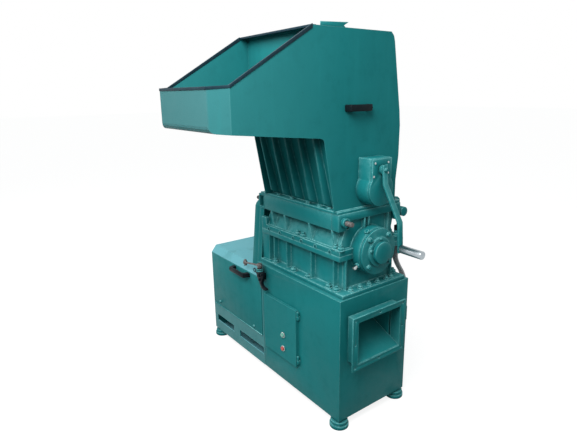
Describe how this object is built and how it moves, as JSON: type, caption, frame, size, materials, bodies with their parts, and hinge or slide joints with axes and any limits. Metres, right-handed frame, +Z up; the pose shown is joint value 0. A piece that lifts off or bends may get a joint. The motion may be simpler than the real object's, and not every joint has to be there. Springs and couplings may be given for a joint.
{
  "type": "plastic granulator",
  "caption": "Floor-standing plastic granulator with a tilting gooseneck hopper, ribbed cutting chamber, sheet base cabinet and an end discharge chute.",
  "frame": {"origin": "on the floor under the middle of the machine's box", "axes": "+X along the rotor towards the discharge chute and crank, -Y towards the feeding side, +Z up"},
  "size_m": [1.45, 1.018, 1.8033],
  "materials": {
    "teal_paint": "hammered teal machine enamel, semi-gloss",
    "black_plastic": "moulded black plastic, satin",
    "rubber": "dark slate edge rubber",
    "bare_steel": "plain turned steel",
    "dull_steel": "threaded steel gone brown",
    "knife_steel": "ground tool steel",
    "grey_conduit": "grey corrugated sleeve",
    "green_plastic": "translucent green cap",
    "red_plastic": "red push cap"
  },
  "bodies": {
    "machine": {"foot_pads": "teal_paint", "base_cabinet": "teal_paint", "motor_compartment": "teal_paint", "motor_access_panel": "teal_paint", "access_panel_handle": "black_plastic", "discharge_chute": "teal_paint", "discharge_slide": "teal_paint", "lower_chamber": "teal_paint", "upper_chamber": "teal_paint", "frame_long_beams": "teal_paint", "frame_end_bars": "teal_paint", "rotor": "knife_steel", "bearing_plates": "teal_paint", "bearing_flange": "teal_paint", "bearing_cap": "teal_paint", "belt_guard": "teal_paint", "guard_back_plate": "teal_paint", "frame_lock_bosses": "teal_paint", "frame_lock_studs": "dull_steel", "clamp_body": "black_plastic", "hinge_lugs": "teal_paint", "hinge_pins": "bare_steel", "limit_switch": "black_plastic", "control_conduits": "grey_conduit", "cable_entry": "teal_paint", "door_hinges": "teal_paint"},
    "hopper": {"hopper_side_sheets": "teal_paint", "hopper_front_sheet": "teal_paint", "hopper_floor_sheet": "teal_paint", "hopper_back_sheet": "teal_paint", "neck_front_sheet": "teal_paint", "neck_ribs": "teal_paint", "hopper_baffle": "teal_paint", "hopper_trim": "rubber", "hopper_flange": "teal_paint", "hopper_handle": "black_plastic", "hopper_top_lug": "teal_paint", "gear_housing": "teal_paint", "gear_cover": "teal_paint"},
    "crank": {"crank_arm": "teal_paint", "crank_grip": "bare_steel"},
    "door": {"control_door": "teal_paint"},
    "start": {"start_button": "green_plastic"},
    "stop": {"stop_button": "red_plastic"},
    "clamp": {"clamp_lever": "dull_steel"}
  },
  "joints": [
    {"name": "hopper_tilt", "type": "hinge", "parent": "machine", "child": "hopper", "pos_m": [0.163, 0.4875, 0.975], "axis": [-1, 0, 0], "range_deg": [0, 80]},
    {"name": "crank_turn", "type": "hinge", "parent": "hopper", "child": "crank", "pos_m": [0.529, 0.2325, 1.216], "axis": [1, 0, 0], "continuous": true},
    {"name": "control_door_swing", "type": "hinge", "parent": "machine", "child": "door", "pos_m": [0.193, 0.013, 0.345], "axis": [0, 0, 1], "range_deg": [0, 110]},
    {"name": "start_press", "type": "slide", "parent": "door", "child": "start", "axis": [0, 1, 0], "range_m": [0, 0.004], "stiffness_N_per_m": 800},
    {"name": "stop_press", "type": "slide", "parent": "door", "child": "stop", "axis": [0, 1, 0], "range_m": [0, 0.004], "stiffness_N_per_m": 800},
    {"name": "clamp_turn", "type": "hinge", "parent": "machine", "child": "clamp", "pos_m": [-0.117, -0.0005, 0.64], "axis": [0, 0, 1], "range_deg": [-8, 150]}
  ],
  "couplings": [
    {"joint": "crank_turn", "follows": "hopper_tilt", "ratio": 9}
  ]
}
